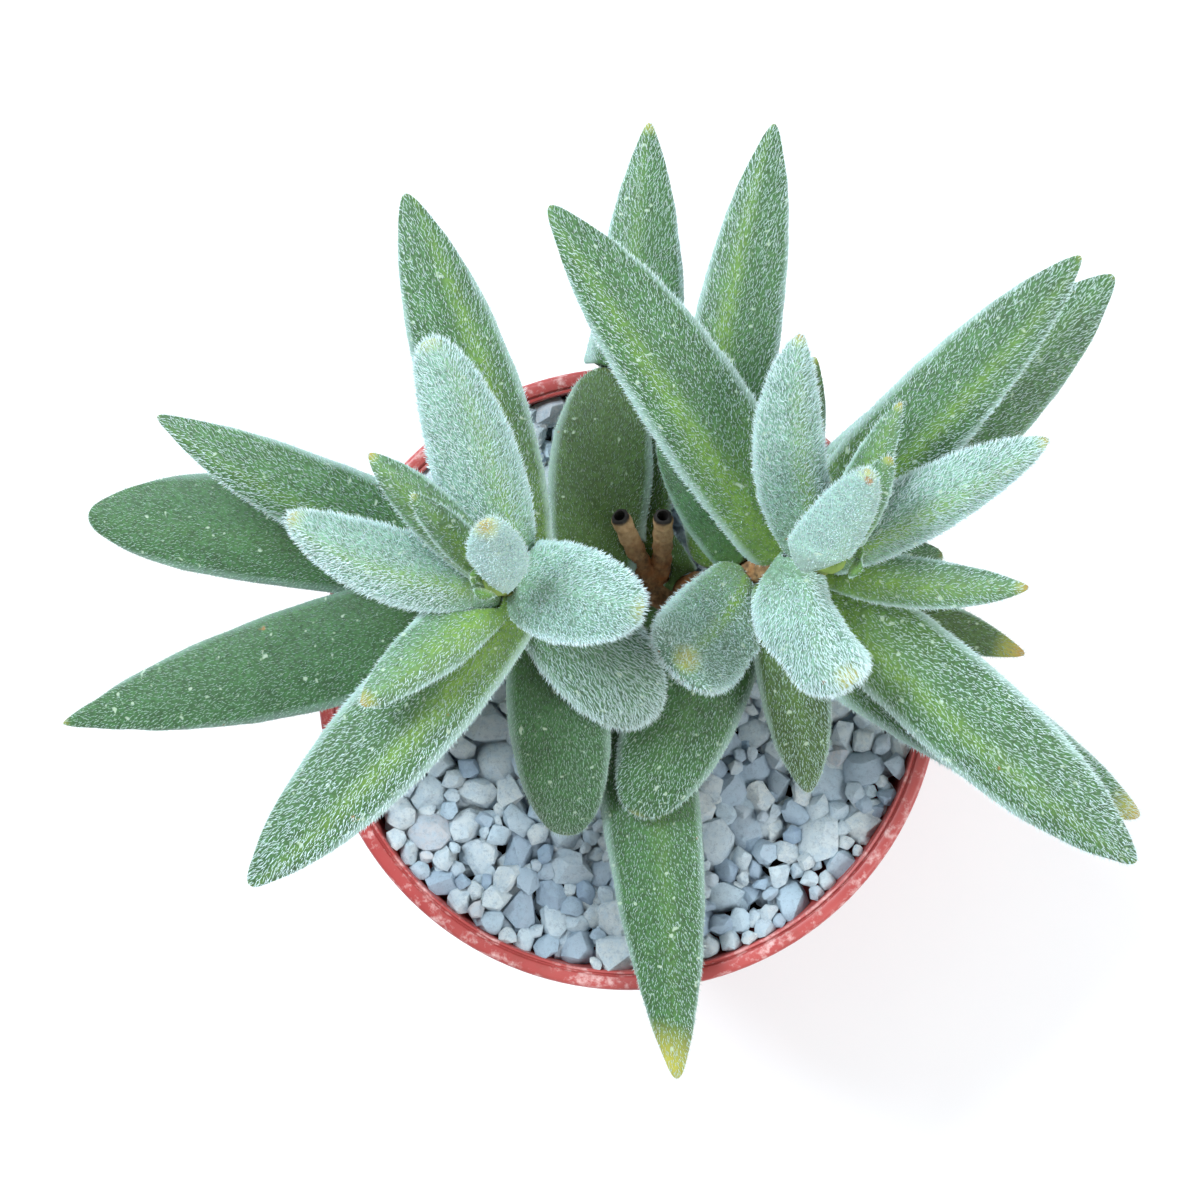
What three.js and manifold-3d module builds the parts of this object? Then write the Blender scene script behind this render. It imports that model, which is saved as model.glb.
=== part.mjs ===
// A potted succulent: a branched plant with thick pointed leaves, in a round nursery pot of soil and gravel.
// Millimetres, +Z up. The origin is at the centre of the pot's underside.
import * as THREE from "three";
import { mergeVertices } from "three/addons/utils/BufferGeometryUtils.js";
import Module from "manifold-3d";

const wasm = await Module();
wasm.setup();

// The pot
const rimDiameter = 90;
const potHeight = 80;
const baseDiameter = 62;
const wall = 1.3;
const floorThickness = 1.6;
const lipWidth = 2.8;
const lipDepth = 2.4;
const lipRadius = 0.7;
const footChamfer = 0.8;
const bandHeight = 11;
const bandStep = 1.1;
const drainHoleCount = 6;
const drainHoleDiameter = 7;
const drainCircleDiameter = 42;

// What fills it
const headspace = 4;
const gravelDepth = 8;
const stoneDiameter = 7.5;
const stoneCount = 52;

// The plant
const forkX = 4;
const forkY = 12;
const forkBury = 2; // how far the fork is under the top of the gravel
const rootDepth = 22;
const trunkDiameter = 5;
const branchDiameter = 3.8;
const stubDiameter = 2.6;
const leafPlumpness = 0.28; // a leaf's thickness beside its width
const clearance = 0.3; // between pieces that touch
const leafClearance = 0.4; // between leaves, which meet at their thin edges

const roundSegments = 40;
const holeSegments = 16;
const rodSegments = 4; // to each quarter of a stem's round
const up = new THREE.Vector3(0, 0, 1);

// Heights that follow from the pot
const gravelTop = potHeight - headspace;
const soilTop = gravelTop - gravelDepth;

// ---- solids -------------------------------------------------------------------------------------------

function toSolid(geometry) {
  const bare = geometry.clone();
  bare.deleteAttribute("normal");
  bare.deleteAttribute("uv");
  const merged = mergeVertices(bare, 1e-4);
  return new wasm.Manifold(
    new wasm.Mesh({
      numProp: 3,
      vertProperties: new Float32Array(merged.attributes.position.array),
      triVerts: new Uint32Array(merged.index.array),
    }),
  );
}

function toGeometry(solid) {
  const mesh = solid.getMesh();
  const geometry = new THREE.BufferGeometry();
  geometry.setAttribute("position", new THREE.BufferAttribute(mesh.vertProperties, 3));
  geometry.setIndex(new THREE.BufferAttribute(mesh.triVerts, 1));
  geometry.computeVertexNormals();
  return geometry;
}

// A cut can leave a sliver beside the piece, so the piece is the largest body.
function largestBody(solid) {
  return solid.decompose().reduce((a, b) => (b.volume() > a.volume() ? b : a));
}

function boxesMeet(a, b) {
  const p = a.boundingBox();
  const q = b.boundingBox();
  return [0, 1, 2].every((i) => p.min[i] < q.max[i] && q.min[i] < p.max[i]);
}

// A solid turned about the pot's axis. The profile is a list of [radius, height].
function turned(profile) {
  const points = profile.map(([r, z]) => new THREE.Vector2(r, z));
  const geometry = new THREE.LatheGeometry(points, roundSegments);
  geometry.rotateX(Math.PI / 2);
  return toSolid(geometry);
}

// A round rod along a curve.
function rod(curve, diameter, steps) {
  const section = new THREE.Shape();
  section.absarc(0, 0, diameter / 2, 0, 2 * Math.PI);
  const geometry = new THREE.ExtrudeGeometry(section, {
    extrudePath: curve,
    steps,
    curveSegments: rodSegments,
  });
  return toSolid(geometry);
}

// ---- pot ----------------------------------------------------------------------------------------------

const rimRadius = rimDiameter / 2;
const baseRadius = baseDiameter / 2;
const bandFoot = potHeight - bandHeight;
const bandRadius = rimRadius - lipWidth + wall;
const lipFoot = potHeight - lipDepth;
const wallSlope = (bandRadius - bandStep - baseRadius) / bandFoot;

// The outside radius of the wall below the rim band, and the inside radius at any height. The band is
// upright.
function outsideRadius(z) {
  return baseRadius + wallSlope * z;
}

function insideRadius(z) {
  return z > bandFoot ? rimRadius - lipWidth : outsideRadius(z) - wall;
}

function makePot() {
  const lipRound = lipRadius * 0.3; // how far each end of the lip's round is set back from its corner
  const body = turned([
    [0, 0],
    [baseRadius - footChamfer, 0],
    [outsideRadius(footChamfer), footChamfer],
    [outsideRadius(bandFoot - bandStep), bandFoot - bandStep],
    [bandRadius, bandFoot],
    [bandRadius, lipFoot - lipRadius],
    [rimRadius, lipFoot],
    [rimRadius, potHeight - lipRadius],
    [rimRadius - lipRound, potHeight - lipRound],
    [rimRadius - lipRadius, potHeight],
    [rimRadius - lipWidth + lipRadius, potHeight],
    [rimRadius - lipWidth, potHeight - lipRadius],
    [rimRadius - lipWidth, bandFoot + bandStep],
    [insideRadius(bandFoot), bandFoot],
    [insideRadius(floorThickness), floorThickness],
    [0, floorThickness],
  ]);
  let pot = body;
  for (let i = 0; i < drainHoleCount; i++) {
    const angle = (i / drainHoleCount) * 2 * Math.PI;
    const radius = drainHoleDiameter / 2;
    const hole = new THREE.CylinderGeometry(radius, radius, 3 * floorThickness, holeSegments);
    hole.rotateX(Math.PI / 2);
    hole.translate(drainCircleDiameter / 2, 0, 0);
    hole.rotateZ(angle);
    pot = pot.subtract(toSolid(hole));
  }
  return pot;
}

// ---- the plant's woody stem ---------------------------------------------------------------------------

// Each branch leaves the fork leaning outwards and turns upright. Places are from the fork, in mm.
const fork = new THREE.Vector3(forkX, forkY, gravelTop - forkBury);
const branches = {
  left: { knee: [-17, 2, 17], top: [-22, 2, 49] },
  right: { knee: [14, 3.5, 15], top: [22.5, 5, 49] },
};
const stubs = [
  { knee: [-2, 4, 10], top: [-5.5, 11, 21] },
  { knee: [1, 5, 10], top: [0.5, 11, 21] },
];

function fromFork([x, y, z]) {
  return new THREE.Vector3(x, y, z).add(fork);
}

function grownCurve({ knee, top }) {
  return new THREE.QuadraticBezierCurve3(fork, fromFork(knee), fromFork(top));
}

const branchCurves = {
  left: grownCurve(branches.left),
  right: grownCurve(branches.right),
};

function ball(centre, diameter) {
  const geometry = new THREE.SphereGeometry(diameter / 2, 8, 6);
  geometry.translate(centre.x, centre.y, centre.z);
  return toSolid(geometry);
}

// The trunk's own bend below the fork and the crotch where the branches part.
const trunkKnee = [0.5, -0.5, -8];
const crotch = [0, 0.4, 2.5];

// The trunk ends in the soil and each branch at its tip in a round end. The stubs were cut square.
function makeStem(grow) {
  const foot = fromFork([1, -2, -rootDepth]);
  const trunkCurve = new THREE.QuadraticBezierCurve3(foot, fromFork(trunkKnee), fromFork(crotch));
  const trunk = trunkDiameter + 2 * grow;
  const branch = branchDiameter + 2 * grow;
  let stem = rod(trunkCurve, trunk, 3).add(ball(foot, trunk));
  for (const curve of Object.values(branchCurves)) {
    stem = stem.add(rod(curve, branch, 7)).add(ball(curve.v2, branch));
  }
  for (const stub of stubs) {
    stem = stem.add(rod(grownCurve(stub), stubDiameter + 2 * grow, 4));
  }
  return stem;
}

// ---- leaves -------------------------------------------------------------------------------------------

// at: how far along its branch a leaf grows, mm. turn: the way it points seen from above, degrees from +X.
// rise: its slope at the stem, degrees. bend: how much the slope changes along it, degrees.
// sweep: how much its turn changes along it, degrees. tip: how sharp its end is, from 0.5 for round to 1.
// widest: where along it is widest. Each shoot starts with its youngest leaf.
const leaves = {
  left: [
    { at: 52, turn: 89, rise: 63, bend: 10, length: 17, width: 8 },
    { at: 51, turn: 134, rise: 40, bend: -10, length: 17, width: 5 },
    { at: 48, turn: 136, rise: 32, bend: -20, length: 24, width: 7 },
    { at: 46, turn: 100, rise: 32, bend: -20, sweep: 14, length: 34, width: 11.5, tip: 0.5 },
    { at: 46, turn: -12, rise: 50, bend: -30, length: 22, width: 13, tip: 0.5 },
    { at: 44, turn: 182, rise: 30, bend: -20, sweep: -36, length: 32, width: 10, tip: 0.6 },
    { at: 43, turn: -140, rise: 30, bend: -25, length: 26, width: 8.5 },
    { at: 38, turn: 103, rise: 28, bend: -25, sweep: 7, length: 54, width: 13.5 },
    { at: 38, turn: -130, rise: 20, bend: -30, sweep: -4, length: 55, width: 14.5, tip: 0.65 },
    { at: 36, turn: -45, rise: 14, bend: -70, sweep: -14, length: 32, width: 14.5, tip: 0.5 },
    { at: 32, turn: 162, rise: 23, bend: -25, sweep: -11, length: 56, width: 11.5 },
    { at: 28, turn: -86, rise: 6, bend: -50, length: 41, width: 14.5, tip: 0.5 },
    { at: 25, turn: -163, rise: 12, bend: -30, sweep: -3, length: 74, width: 15.5, tip: 0.9 },
    { at: 21, turn: 165, rise: 17, bend: -30, sweep: 14, length: 70, width: 15.5, tip: 0.5, widest: 0.6 },
    { at: 15, turn: 86, rise: 15, bend: -30, length: 32, width: 15, tip: 0.5, widest: 0.5 },
    { at: 7, turn: -86, rise: 20, bend: -36, length: 70, width: 14.5, tip: 0.7 },
    { at: 7, turn: 87, rise: 20, bend: -32, length: 69, width: 11.5 },
  ],
  right: [
    { at: 52, turn: 75, rise: 54, bend: 0, length: 17, width: 8.5 },
    { at: 50, turn: 62, rise: 43, bend: -10, length: 17, width: 6 },
    { at: 48, turn: 66, rise: 36, bend: -20, length: 23, width: 5.5 },
    { at: 46, turn: 120, rise: 35, bend: -20, sweep: -44, length: 33, width: 9.5 },
    { at: 46, turn: -120, rise: 38, bend: -40, sweep: 70, length: 22, width: 14, tip: 0.5 },
    { at: 44, turn: 28, rise: 29, bend: -20, length: 34, width: 9 },
    { at: 42, turn: -16, rise: 28, bend: -20, sweep: 18, length: 29, width: 7 },
    { at: 38, turn: 122, rise: 25, bend: -20, sweep: 7, length: 58, width: 14 },
    { at: 37, turn: -41, rise: 17, bend: -30, length: 61.5, width: 14, tip: 0.7, widest: 0.5 },
    { at: 36, turn: 49, rise: 28, bend: -25, sweep: -3, length: 56, width: 12.5 },
    { at: 31, turn: -80, rise: 10, bend: -50, length: 35, width: 10 },
    { at: 31, turn: -19, rise: 16, bend: -20, length: 35, width: 8 },
    { at: 30, turn: 79, rise: 20, bend: -20, length: 29, width: 8 },
    { at: 28, turn: 37, rise: 21, bend: -25, sweep: 7, length: 62, width: 14 },
    { at: 27, turn: -40, rise: 19, bend: -30, sweep: 14, length: 63, width: 15 },
    { at: 26, turn: 5, rise: 11, bend: -30, length: 26, width: 8, tip: 0.5 },
    { at: 26, turn: -131, rise: 33, bend: 42, length: 30, width: 14, tip: 0.4, widest: 0.6 },
    { at: 24, turn: 122, rise: 15, bend: -30, length: 24, width: 9 },
    { at: 22, turn: -114, rise: 14, bend: -40, length: 39, width: 15.5, tip: 0.5, widest: 0.5 },
    { at: 16, turn: 94, rise: 18, bend: -30, sweep: -18, length: 66, width: 13 },
    { at: 8, turn: 132, rise: 10, bend: -20, length: 22, width: 7 },
  ],
};
const buds = {
  left: [
    { at: 53, turn: 160, rise: 50, bend: -10, length: 4.5, width: 2.6 },
    { at: 53, turn: -120, rise: 50, bend: -10, length: 4.5, width: 2.6 },
  ],
  right: [
    { at: 53, turn: 20, rise: 50, bend: -10, length: 5, width: 2.6 },
    { at: 53, turn: -30, rise: 50, bend: -10, length: 5, width: 2.6 },
  ],
};

const leafSections = 10;
const leafSides = 8;
const footShare = 0.68; // a leaf's width where it meets the stem, beside its greatest
const widestAt = 0.4; // along the leaf, where its own row says nothing else
const crown = 0.38; // the share of the thickness above the leaf's edges
const usualTip = 0.7;
const tipTaper = 0.3; // how much thinner a leaf is at its tip
const lastSection = 0.985; // along the leaf, where its narrowest section is

function direction(turn, rise) {
  const a = THREE.MathUtils.degToRad(turn);
  const e = THREE.MathUtils.degToRad(rise);
  return new THREE.Vector3(Math.cos(e) * Math.cos(a), Math.cos(e) * Math.sin(a), Math.sin(e));
}

// The midrib starts inside the stem, so that the cut round the stem gives the leaf its clasping foot.
function midribOf(shoot, leaf, grow) {
  const sweep = leaf.sweep ?? 0;
  const onStem = branchCurves[shoot].getPointAt(leaf.at / branchCurves[shoot].getLength());
  const start = direction(leaf.turn, leaf.rise);
  const end = direction(leaf.turn + sweep, leaf.rise + leaf.bend);
  const foot = onStem.addScaledVector(direction(leaf.turn, 0), branchDiameter / 4);
  const half = leaf.length / 2;
  const knee = foot.clone().addScaledVector(start, half);
  const tip = knee.clone().addScaledVector(end, half + grow);
  foot.addScaledVector(start, -grow);
  return new THREE.QuadraticBezierCurve3(foot, knee, tip);
}

// A leaf's width at a place along it, as a share of its greatest.
function widthShare(leaf, along) {
  const widest = leaf.widest ?? widestAt;
  if (along < widest) {
    return footShare + (1 - footShare) * Math.sin((Math.PI / 2) * (along / widest));
  }
  const past = (along - widest) / (1 - widest);
  return Math.pow(1 - past * past, leaf.tip ?? usualTip);
}

// A ball drawn out along the midrib: each ring of the ball becomes one section of the leaf.
function makeLeaf(shoot, leaf, grow) {
  const midrib = midribOf(shoot, leaf, grow);
  const geometry = new THREE.SphereGeometry(1, leafSides, leafSections);
  const position = geometry.attributes.position;
  const thickness = leaf.width * leafPlumpness;
  for (let i = 0; i < position.count; i++) {
    const ring = new THREE.Vector3().fromBufferAttribute(position, i);
    const along = THREE.MathUtils.smoothstep(Math.acos(ring.y) / Math.PI, 0, 1);
    const around = Math.atan2(ring.z, ring.x);
    const round = Math.hypot(ring.x, ring.z) < 1e-6 ? 0 : 1;
    const share = widthShare(leaf, Math.min(along, lastSection));
    const half = (leaf.width / 2) * share + grow;
    const across = half * Math.cos(around) * round;
    const part = Math.sin(around) > 0 ? crown : 1 - crown;
    const thick = thickness * part * Math.sqrt(share) * (1 - tipTaper * along) + grow;
    const above = thick * Math.sin(around) * round;
    const tangent = midrib.getTangent(along);
    const side = new THREE.Vector3().crossVectors(up, tangent).normalize();
    const normal = new THREE.Vector3().crossVectors(tangent, side);
    const point = midrib.getPoint(along).addScaledVector(side, across).addScaledVector(normal, above);
    position.setXYZ(i, point.x, point.y, point.z);
  }
  return toSolid(geometry);
}

// ---- soil and gravel ----------------------------------------------------------------------------------

// What fills the pot between two heights, clear of the wall and following its step at the rim band.
function filling(bottom, top) {
  const step = [bandFoot, bandFoot + bandStep].filter((z) => z > bottom && z < top);
  const edge = [bottom, ...step, top].map((z) => [insideRadius(z) - clearance, z]);
  return turned([[0, bottom], ...edge, [0, top]]);
}

function makeSoil(stemSpace) {
  return filling(floorThickness + clearance, soilTop - clearance).subtract(stemSpace);
}

// A bed with the upper halves of stones set in it, packed in a spiral as seeds are in a flower head.
// Each stone is a little longer one way and flatter than it is wide, and up to stoneVariation smaller.
const stoneStretch = [1.15, 1, 0.85];
const stoneVariation = 0.4;
const stoneStandsOut = 0.35;

function makeGravel(stemSpace) {
  const bedTop = gravelTop - stoneDiameter * stoneStandsOut;
  let gravel = filling(soilTop, bedTop);
  const reach = insideRadius(bedTop) - clearance - stoneDiameter / 2;
  const goldenAngle = Math.PI * (3 - Math.sqrt(5));
  for (let i = 0; i < stoneCount; i++) {
    const r = reach * Math.sqrt((i + 0.5) / stoneCount);
    const size = (stoneDiameter / 2) * (1 - stoneVariation * Math.sin(5 * i) ** 2);
    const stone = new THREE.IcosahedronGeometry(size, 0);
    stone.rotateX(i);
    stone.rotateZ(2 * i);
    stone.scale(...stoneStretch);
    stone.translate(r * Math.cos(i * goldenAngle), r * Math.sin(i * goldenAngle), bedTop);
    gravel = gravel.add(toSolid(stone));
  }
  return largestBody(gravel.subtract(stemSpace));
}

// ---- assembly -----------------------------------------------------------------------------------------

const colours = {
  pot: { color: 0xba5450, roughness: 0.45, metalness: 0 },
  soil: { color: 0x3b2a1e, roughness: 1, metalness: 0 },
  gravel: { color: 0xcfdadb, roughness: 0.95, metalness: 0 },
  stem: { color: 0x8a6a45, roughness: 0.9, metalness: 0 },
  leaf: { color: 0x6f9a68, roughness: 0.8, metalness: 0 },
  bud: { color: 0x9fc070, roughness: 0.8, metalness: 0 },
};

const succulent = new THREE.Group();

function addPiece(name, solid, colour) {
  const mesh = new THREE.Mesh(toGeometry(solid), new THREE.MeshStandardMaterial(colours[colour]));
  mesh.name = name;
  succulent.add(mesh);
}

const stemSpace = makeStem(clearance);
addPiece("pot", makePot(), "pot");
addPiece("soil", makeSoil(stemSpace), "soil");
addPiece("gravel", makeGravel(stemSpace), "gravel");
addPiece("stem", makeStem(0), "stem");

// Younger leaves keep their shape, and an older one is cut back where it would press into them.
const grown = [stemSpace];
for (const [kind, shoots] of Object.entries({ bud: buds, leaf: leaves })) {
  for (const [shoot, list] of Object.entries(shoots)) {
    list.forEach((leaf, i) => {
      let solid = makeLeaf(shoot, leaf, 0);
      for (const neighbour of grown) {
        if (boxesMeet(solid, neighbour)) {
          solid = solid.subtract(neighbour);
        }
      }
      const number = String(i + 1).padStart(2, "0");
      addPiece(shoot + "_" + kind + "_" + number, largestBody(solid), kind);
      grown.push(makeLeaf(shoot, leaf, leafClearance));
    });
  }
}

export default succulent;
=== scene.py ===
import math
import random

import bpy
import numpy as np
from mathutils import Matrix, Vector, noise


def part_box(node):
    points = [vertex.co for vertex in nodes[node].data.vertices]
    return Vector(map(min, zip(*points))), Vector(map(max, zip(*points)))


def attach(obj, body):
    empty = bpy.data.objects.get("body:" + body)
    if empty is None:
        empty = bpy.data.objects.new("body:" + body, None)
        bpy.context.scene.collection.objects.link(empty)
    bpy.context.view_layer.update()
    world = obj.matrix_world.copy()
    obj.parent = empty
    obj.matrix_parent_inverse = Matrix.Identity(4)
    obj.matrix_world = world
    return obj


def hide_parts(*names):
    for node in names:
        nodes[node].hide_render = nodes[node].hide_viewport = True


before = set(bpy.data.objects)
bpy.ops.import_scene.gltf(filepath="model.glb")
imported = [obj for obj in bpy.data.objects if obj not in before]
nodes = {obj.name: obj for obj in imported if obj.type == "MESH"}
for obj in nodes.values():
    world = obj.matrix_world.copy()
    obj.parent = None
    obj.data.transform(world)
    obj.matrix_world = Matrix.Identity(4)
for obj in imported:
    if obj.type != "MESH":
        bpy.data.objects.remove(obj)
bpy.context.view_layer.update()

mm = 0.001


# Helpers for pieces

def startClean():
    if bpy.context.object and bpy.context.object.mode != "OBJECT":
        bpy.ops.object.mode_set(mode="OBJECT")
    bpy.ops.object.select_all(action="DESELECT")


def pick(piece):
    startClean()
    piece.select_set(True)
    bpy.context.view_layer.objects.active = piece


def applyModifiers(piece):
    pick(piece)
    for modifier in list(piece.modifiers):
        bpy.ops.object.modifier_apply(modifier=modifier.name)


def cutAway(piece, tool):
    cut = piece.modifiers.new("cut", "BOOLEAN")
    cut.operation = "DIFFERENCE"
    cut.solver = "EXACT"
    cut.object = tool
    applyModifiers(piece)
    bpy.data.objects.remove(tool)


def remeshEvenly(piece, size, smoothings=0):
    remesh = piece.modifiers.new("even", "REMESH")
    remesh.mode = "VOXEL"
    remesh.voxel_size = size * mm
    if smoothings:
        smooth = piece.modifiers.new("soft", "SMOOTH")
        smooth.iterations = smoothings
    applyModifiers(piece)


def finishPiece(piece, slotName, *nodeNames):
    pick(piece)
    bpy.ops.object.transform_apply(location=True, rotation=True, scale=True)
    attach(piece, "root")
    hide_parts(*nodeNames)


def newPiece(name, points, faces):
    mesh = bpy.data.meshes.new(name)
    mesh.from_pydata([tuple(p) for p in points], [], faces)
    piece = bpy.data.objects.new(name, mesh)
    bpy.context.scene.collection.objects.link(piece)
    return piece


def mergedCopy(nodeName, pieceName):
    # a CAD node is loose triangles, so its copy is merged and its flat pairs joined
    piece = bpy.data.objects.new(pieceName, nodes[nodeName].data.copy())
    bpy.context.scene.collection.objects.link(piece)
    piece.data.materials.clear()
    pick(piece)
    bpy.ops.object.mode_set(mode="EDIT")
    bpy.ops.mesh.select_all(action="SELECT")
    bpy.ops.mesh.remove_doubles(threshold=0.01 * mm)
    bpy.ops.mesh.tris_convert_to_quads(face_threshold=math.radians(50), shape_threshold=math.radians(70))
    bpy.ops.object.mode_set(mode="OBJECT")
    return piece


def readPoints(piece, what="co"):
    values = np.zeros(len(piece.data.vertices) * 3)
    source = piece.data.vertices if what == "co" else piece.data.vertex_normals
    source.foreach_get("co" if what == "co" else "vector", values)
    return values.reshape(-1, 3)


def writePoints(piece, points):
    piece.data.vertices.foreach_set("co", np.asarray(points, dtype=np.float32).ravel())
    piece.data.update()


def addAttribute(piece, name, values):
    values = np.asarray(values, dtype=np.float32)
    kind = "FLOAT_VECTOR" if values.ndim == 2 else "FLOAT"
    attribute = piece.data.attributes.new(name, kind, "POINT")
    attribute.data.foreach_set("vector" if values.ndim == 2 else "value", values.ravel())


def shadeSmooth(piece, degrees=180):
    pick(piece)
    if degrees >= 180:
        bpy.ops.object.shade_smooth()
    else:
        bpy.ops.object.shade_smooth_by_angle(angle=math.radians(degrees))


def unit(vectors):
    return vectors / np.maximum(np.linalg.norm(vectors, axis=-1, keepdims=True), 1e-12)


# Helpers for materials

def paint(red, green, blue):
    # a screen colour from 0 to 255, as the shader wants it
    return tuple(((c / 255 + 0.055) / 1.055) ** 2.4 if c > 10 else c / 3295 for c in (red, green, blue))


def newMaterial(name, roughness=0.5):
    material = bpy.data.materials.new(name)
    material.use_nodes = True
    tree = material.node_tree
    shader = tree.nodes["Principled BSDF"]
    shader.inputs["Roughness"].default_value = roughness
    return material, tree, shader


def put(tree, kind, inputs=None, **settings):
    node = tree.nodes.new(kind)
    for key, value in settings.items():
        setattr(node, key, value)
    for key, value in (inputs or {}).items():
        if isinstance(value, bpy.types.NodeSocket):
            tree.links.new(value, node.inputs[key])
        else:
            node.inputs[key].default_value = value
    return node


def objectPlace(tree):
    return put(tree, "ShaderNodeTexCoord").outputs["Object"]


def readFactor(tree, name):
    return put(tree, "ShaderNodeAttribute", attribute_name=name).outputs["Fac"]


def readVector(tree, name):
    vector = put(tree, "ShaderNodeAttribute", attribute_name=name).outputs["Vector"]
    return put(tree, "ShaderNodeSeparateXYZ", {"Vector": vector}).outputs


def noiseAt(tree, place, scale, detail=4.0, rough=0.55):
    inputs = {"Vector": place, "Scale": scale, "Detail": detail, "Roughness": rough}
    return put(tree, "ShaderNodeTexNoise", inputs).outputs["Fac"]


def ramp(tree, value, *stops):
    node = put(tree, "ShaderNodeValToRGB", {"Fac": value})
    while len(node.color_ramp.elements) < len(stops):
        node.color_ramp.elements.new(0.5)
    for element, (place, shade) in zip(node.color_ramp.elements, stops):
        element.position = place
        element.color = (shade, shade, shade, 1) if isinstance(shade, (int, float)) else (*shade, 1)
    return node.outputs["Color"]


def blend(tree, factor, first, second, mode="MIX"):
    node = put(tree, "ShaderNodeMix", data_type="RGBA", blend_type=mode)
    for socket, value in ((node.inputs[0], factor), (node.inputs[6], first), (node.inputs[7], second)):
        if isinstance(value, bpy.types.NodeSocket):
            tree.links.new(value, socket)
        elif isinstance(value, (int, float)):
            socket.default_value = value
        else:
            socket.default_value = (*value, 1)
    return node.outputs[2]


def times(tree, first, second):
    node = put(tree, "ShaderNodeMath", operation="MULTIPLY")
    for socket, value in ((node.inputs[0], first), (node.inputs[1], second)):
        if isinstance(value, bpy.types.NodeSocket):
            tree.links.new(value, socket)
        else:
            socket.default_value = value
    return node.outputs[0]


def addBump(tree, shader, height, strength, distance):
    inputs = {"Height": height, "Strength": strength, "Distance": distance}
    bump = put(tree, "ShaderNodeBump", inputs)
    tree.links.new(bump.outputs["Normal"], shader.inputs["Normal"])


# Camera, floor and light

studio = {
    "cameraPlace": (-4.2 * mm, 11.4 * mm, 430 * mm),
    "lens": 72.8,
    "sensor": 36,
    "aim": (0, 0, 80 * mm),
    "floorSize": 4.0,
    "floorPale": paint(246, 246, 247),
    "floorGrain": paint(250, 250, 250),
    "sky": (0.95, 0.98, 1.0),
    "skyStrength": 0.60,
    # each softbox: place, size, power, colour
    "softboxes": {
        "coolKey": ((-0.38, 0.34, 0.62), 0.30, 7.0, (0.80, 0.92, 1.0)),
        "softFill": ((0.45, -0.12, 0.55), 0.40, 3.1, (0.95, 0.99, 1.0)),
    },
}


def setStudio():
    bpy.ops.object.camera_add(location=studio["cameraPlace"], rotation=(0, 0, 0))
    camera = bpy.context.object
    camera.name = "topCamera"
    camera.data.lens = studio["lens"]
    camera.data.sensor_width = studio["sensor"]
    camera.data.clip_start = 0.01
    bpy.context.scene.camera = camera

    bpy.ops.mesh.primitive_plane_add(size=studio["floorSize"], location=(0, 0, 0))
    floor = bpy.context.object
    floor.name = "paleFloor"
    material, tree, shader = newMaterial("paleFloorPaint", 0.9)
    grain = noiseAt(tree, objectPlace(tree), 40)
    floorColour = blend(tree, grain, studio["floorPale"], studio["floorGrain"])
    tree.links.new(floorColour, shader.inputs["Base Color"])
    floor.data.materials.append(material)

    world = bpy.data.worlds.new("softSky")
    bpy.context.scene.world = world
    world.use_nodes = True
    background = world.node_tree.nodes["Background"]
    background.inputs["Color"].default_value = (*studio["sky"], 1)
    background.inputs["Strength"].default_value = studio["skyStrength"]

    for name, (place, size, power, colour) in studio["softboxes"].items():
        bpy.ops.object.light_add(type="AREA", location=place)
        box = bpy.context.object
        box.name = name
        box.data.size = size
        box.data.energy = power
        box.data.color = colour
        box.rotation_euler = (Vector(studio["aim"]) - box.location).to_track_quat("-Z", "Y").to_euler()
    bpy.context.scene.view_settings.view_transform = "Standard"
    print("studio set")


# The red plastic pot

# sizes in mm; the lip's radius and the height are read from the frame
pot = {
    "plastic": paint(164, 62, 60),
    "plasticPale": paint(184, 84, 80),
    "scuff": paint(218, 172, 168),
    "dust": paint(140, 74, 62),
    "turns": 144,
    "wall": 1.3,
    "floor": 1.6,
    "floorCorner": 1.2,
    "baseRadius": 31,
    "recess": 1.0,
    "recessEdge": 3.4,
    "footEdge": 2.3,
    "footRound": 0.8,
    "wallRings": (12, 30, 48),
    "innerRings": (46, 24),
    "bandHeight": 11,
    "bandStep": 1.1,
    "soft": 0.3,
    "lipWidth": 2.8,
    "lipDrop": 2.4,
    "lipRound": 0.75,
    "lipUnderRound": 0.6,
    "lipInnerRound": 0.25,
    "grooveIn": 0.62,
    "grooveWidth": 0.34,
    "grooveDepth": 0.55,
    "grooveFloor": 0.16,
    "innerBead": 0.22,
    "holes": 6,
    "holeRadius": 3.5,
    "holeCircle": 21,
    "holeSides": 36,
    "drillLength": 8,
}


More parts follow.
